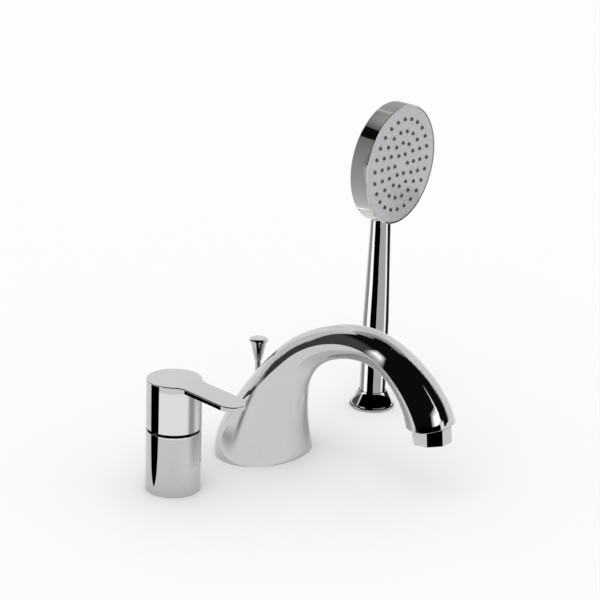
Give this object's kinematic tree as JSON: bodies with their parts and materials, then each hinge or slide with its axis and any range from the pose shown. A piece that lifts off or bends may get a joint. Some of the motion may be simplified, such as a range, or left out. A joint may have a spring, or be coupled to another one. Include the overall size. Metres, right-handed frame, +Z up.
{
  "type": "bath mixer",
  "caption": "Deck-mounted bath mixer with a lever valve, an arched cast spout with a pull-up diverter knob, and a round hand shower standing in its socket.",
  "frame": {"origin": "centre of the spout's deck hole, on the deck's top surface under the spout's foot", "axes": "+Z is up, out of the deck; +X runs along the row of holes from the valve to the hand shower; -Y points out over the bath, the way the spout and the lever point"},
  "size_m": [0.3515, 0.2319, 0.3646],
  "materials": {
    "chrome": "polished chrome plate on brass",
    "brass": "machined brass, bare",
    "blackened_brass": "brass, chemically blackened",
    "copper_tube": "plain drawn tube, copper coloured",
    "steel": "plain stainless steel",
    "black_rubber": "matt black rubber",
    "nozzle_rubber": "soft dark grey silicone rubber",
    "white_plastic": "moulded acetal, matt white",
    "ceramic": "lapped fired ceramic, off white",
    "grey_face": "fine satin grey moulding"
  },
  "bodies": {
    "deck_units": {"aerator_housing": "chrome", "aerator_insert": "white_plastic", "aerator_seal": "black_rubber", "cartridge_body": "white_plastic", "cartridge_fixed_disc": "ceramic", "cartridge_nut": "blackened_brass", "cartridge_port_seals": "black_rubber", "cold_inlet_tube": "copper_tube", "diverter_chamber": "brass", "diverter_gland": "brass", "diverter_gland_seal": "black_rubber", "hot_inlet_tube": "copper_tube", "mixed_outlet_tube": "copper_tube", "shower_base_seal": "black_rubber", "shower_metal_washer": "steel", "shower_mounting_nut": "brass", "shower_outlet_tube": "copper_tube", "shower_rubber_washer": "black_rubber", "shower_shank": "brass", "shower_socket": "chrome", "spout_base_plate": "brass", "spout_base_screws": "steel", "spout_base_seal": "black_rubber", "spout_body": "chrome", "spout_inlet_tube": "copper_tube", "spout_metal_washer": "steel", "spout_mounting_nut": "brass", "spout_rubber_washer": "black_rubber", "spout_shank": "brass", "valve_base_seal": "black_rubber", "valve_body": "brass", "valve_metal_washer": "steel", "valve_mounting_nut": "brass", "valve_rubber_washer": "black_rubber", "valve_shank": "brass", "valve_sleeve": "chrome"},
    "turning_group": {"cartridge_rotor": "white_plastic", "stem_pivot_pin": "steel", "cartridge_turning_disc": "ceramic", "cartridge_disc_carrier": "white_plastic"},
    "handle_group": {"lever_handle": "chrome", "cartridge_stem": "brass", "handle_grub_screw": "steel"},
    "diverter_group": {"diverter_knob": "chrome", "diverter_rod": "steel", "diverter_plunger": "brass", "diverter_plunger_seal": "black_rubber"},
    "guide_bush": {"shower_guide_bush": "white_plastic"},
    "hand_shower": {"shower_handle": "chrome", "hose_thread": "brass", "filter_washer": "black_rubber", "head_shell": "chrome", "spray_face": "grey_face", "spray_nozzle_mat": "nozzle_rubber", "spray_chamber_seal": "black_rubber", "spray_chamber": "white_plastic"}
  },
  "joints": [
    {"name": "handle_turn", "type": "hinge", "parent": "deck_units", "child": "turning_group", "pos_m": [-0.118, 0, 0.07], "axis": [0, 0, 1], "range_deg": [-50, 50]},
    {"name": "handle_lift", "type": "hinge", "parent": "turning_group", "child": "handle_group", "pos_m": [-0.118, 0, 0.07], "axis": [-1, 0, 0], "range_deg": [0, 18]},
    {"name": "diverter_pull", "type": "slide", "parent": "deck_units", "child": "diverter_group", "axis": [0, 0, 1], "range_m": [0, 0.0105]},
    {"name": "shower_turn", "type": "hinge", "parent": "deck_units", "child": "guide_bush", "pos_m": [0.1515, 0, 0], "axis": [0, 0, 1], "continuous": true},
    {"name": "shower_lift", "type": "slide", "parent": "guide_bush", "child": "hand_shower", "axis": [0, 0, 1], "range_m": [0, 0.06]}
  ]
}
